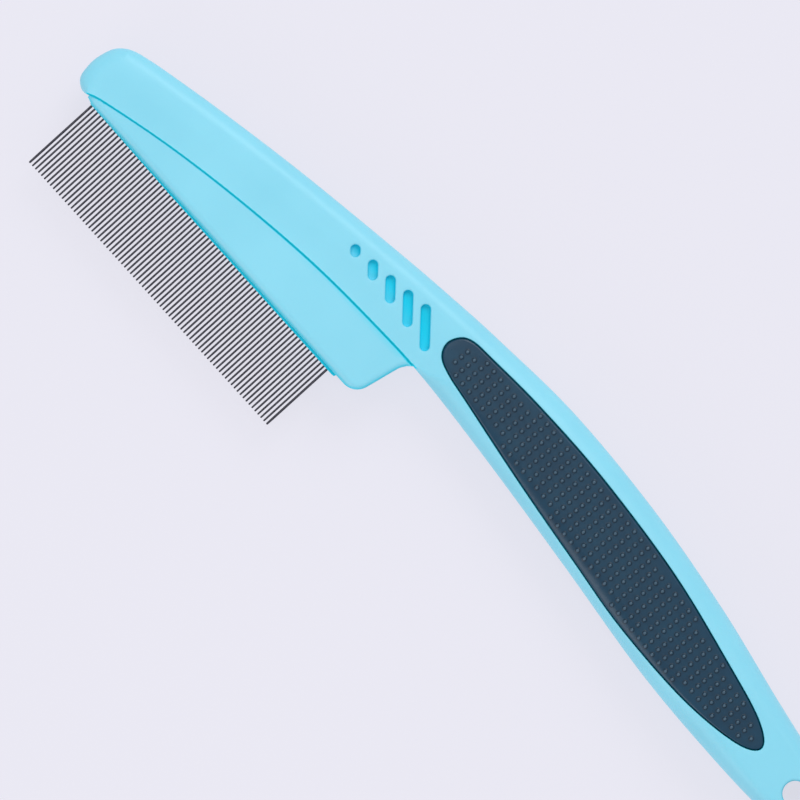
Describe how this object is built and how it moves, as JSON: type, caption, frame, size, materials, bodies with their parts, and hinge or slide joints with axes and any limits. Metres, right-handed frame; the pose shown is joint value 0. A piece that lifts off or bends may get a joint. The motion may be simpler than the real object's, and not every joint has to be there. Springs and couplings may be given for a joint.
{
  "type": "flea comb",
  "caption": "Flea comb with a straight row of fine steel needles set in a blade, and a curved two-shell handle with soft nubbed grip pads and a hanging hole.",
  "frame": {"origin": "centre of the bounding box in X and Y, on the plane that the comb's back rests on", "axes": "+X from the nose to the butt of the handle, +Y from the needle tips towards the spine, +Z out of the front face"},
  "size_m": [0.18, 0.04, 0.0122],
  "materials": {
    "body_plastic": "satin moulded plastic, light cyan",
    "grip_rubber": "matt blue-black soft rubber with small nubs",
    "needle_steel": "polished stainless wire"
  },
  "bodies": {
    "root": {"front_shell": "body_plastic", "rear_shell": "body_plastic", "needle_carrier": "body_plastic", "backing_strip": "needle_steel", "guard_needles": "needle_steel", "front_grip_pad": "grip_rubber", "rear_grip_pad": "grip_rubber", "needle_set_1": "needle_steel", "needle_set_2": "needle_steel", "needle_set_3": "needle_steel", "needle_set_4": "needle_steel", "needle_set_5": "needle_steel", "needle_set_6": "needle_steel", "needle_set_7": "needle_steel", "needle_set_8": "needle_steel"}
  },
  "joints": []
}
